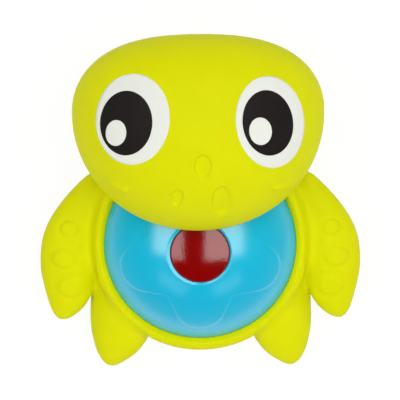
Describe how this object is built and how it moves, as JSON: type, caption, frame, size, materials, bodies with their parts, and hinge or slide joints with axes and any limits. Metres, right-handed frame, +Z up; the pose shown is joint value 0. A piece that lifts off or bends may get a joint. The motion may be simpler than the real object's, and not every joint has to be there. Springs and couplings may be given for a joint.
{
  "type": "squeaky bath toy",
  "caption": "Soft vinyl turtle bath toy with printed eyes, a glossy shell dome and a round push button that squeezes a bellows squeaker inside.",
  "frame": {"origin": "centre of the flat belly, on the button's axis", "axes": "+Z up the button's axis, +Y towards the head, +X to the right of someone who looks down on the toy with the head at the top"},
  "size_m": [0.1116, 0.1194, 0.0698],
  "materials": {
    "vinyl_lime": "soft matte vinyl with a satin sheen",
    "ink_white": "flat printed ink",
    "ink_black": "flat printed ink",
    "dome_blue": "polished moulded plastic",
    "button_red": "glossy moulded plastic with a slight orange peel",
    "seal_rubber": "moulded rubber",
    "inner_plastic": "plain moulded plastic",
    "bulb_vinyl": "thin translucent vinyl",
    "screw_steel": "plain stainless steel"
  },
  "bodies": {
    "toy_body": {"body_skin": "vinyl_lime", "head_skin": "vinyl_lime", "neck_collar": "vinyl_lime", "left_eye_white": "ink_white", "right_eye_white": "ink_white", "left_glint": "ink_white", "right_glint": "ink_white", "left_pupil": "ink_black", "right_pupil": "ink_black", "shell_dome": "dome_blue", "dome_gasket": "seal_rubber", "button_seal": "seal_rubber", "squeaker_tray": "inner_plastic", "reed_plug": "inner_plastic", "reed_cap": "inner_plastic", "squeaker_bulb": "bulb_vinyl", "tray_screws": "screw_steel"},
    "push_button": {"button": "button_red"},
    "reed_tongue": {"reed": "inner_plastic"}
  },
  "joints": [
    {"name": "button_press", "type": "slide", "parent": "toy_body", "child": "push_button", "axis": [0, 0, -1], "range_m": [0, 0.004], "stiffness_N_per_m": 800, "deforming": ["squeaker_bulb"]},
    {"name": "reed_flutter", "type": "hinge", "parent": "toy_body", "child": "reed_tongue", "pos_m": [0, -0.00035, 0.01103], "axis": [-1, 0, 0], "range_deg": [0, 4], "stiffness_Nm_per_rad": 0.0001}
  ]
}
